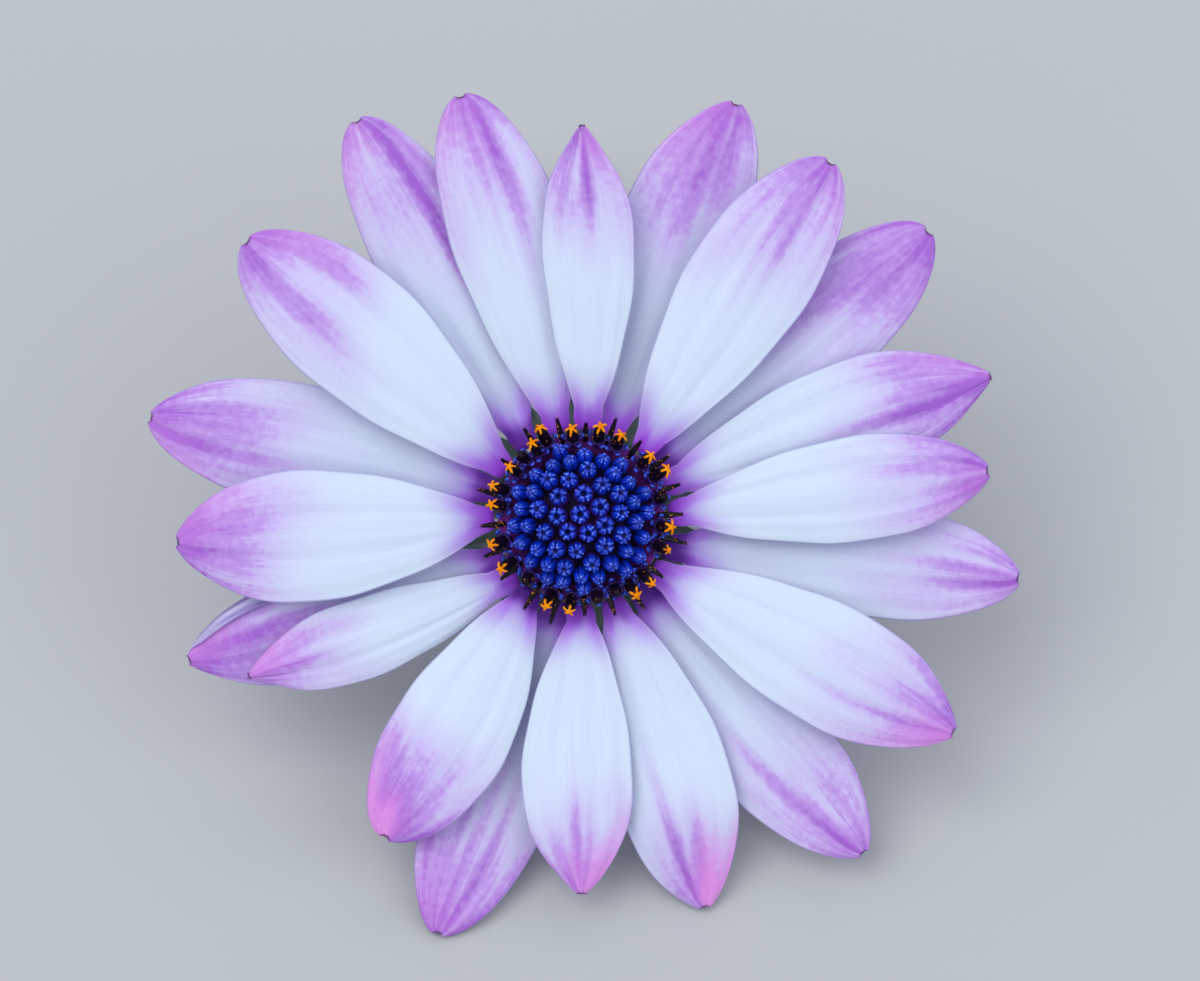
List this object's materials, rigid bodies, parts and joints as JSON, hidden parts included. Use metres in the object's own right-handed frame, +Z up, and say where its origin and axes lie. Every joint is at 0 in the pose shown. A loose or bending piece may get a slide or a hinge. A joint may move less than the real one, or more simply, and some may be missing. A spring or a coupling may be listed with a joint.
{
  "type": "osteospermum flower",
  "caption": "Daisy-like osteospermum bloom, pale blue-white petals tipped violet round a blue domed disc, on a short leafy stem, lying as picked.",
  "frame": {"origin": "on the surface the flower lies on, under the middle of its bounding box", "axes": "+Y from the bloom back along the stem to its cut end, +Z up, +X to the right for someone facing the bloom"},
  "size_m": [0.0752, 0.0842, 0.0421],
  "materials": {
    "petal": "satin",
    "disc": "satin",
    "receptacle": "satin",
    "stem": "satin",
    "leaf": "satin"
  },
  "bodies": {
    "root": {"ray_floret_01": "petal", "ray_floret_02": "petal", "ray_floret_03": "petal", "ray_floret_04": "petal", "ray_floret_05": "petal", "ray_floret_06": "petal", "ray_floret_07": "petal", "ray_floret_08": "petal", "ray_floret_09": "petal", "ray_floret_10": "petal", "ray_floret_11": "petal", "ray_floret_12": "petal", "ray_floret_13": "petal", "ray_floret_14": "petal", "ray_floret_15": "petal", "ray_floret_16": "petal", "ray_floret_17": "petal", "ray_floret_18": "petal", "ray_floret_19": "petal", "ray_floret_20": "petal", "disc_florets": "disc", "receptacle": "receptacle", "stem": "stem", "leaf_left": "leaf", "leaf_right": "leaf"}
  },
  "joints": []
}
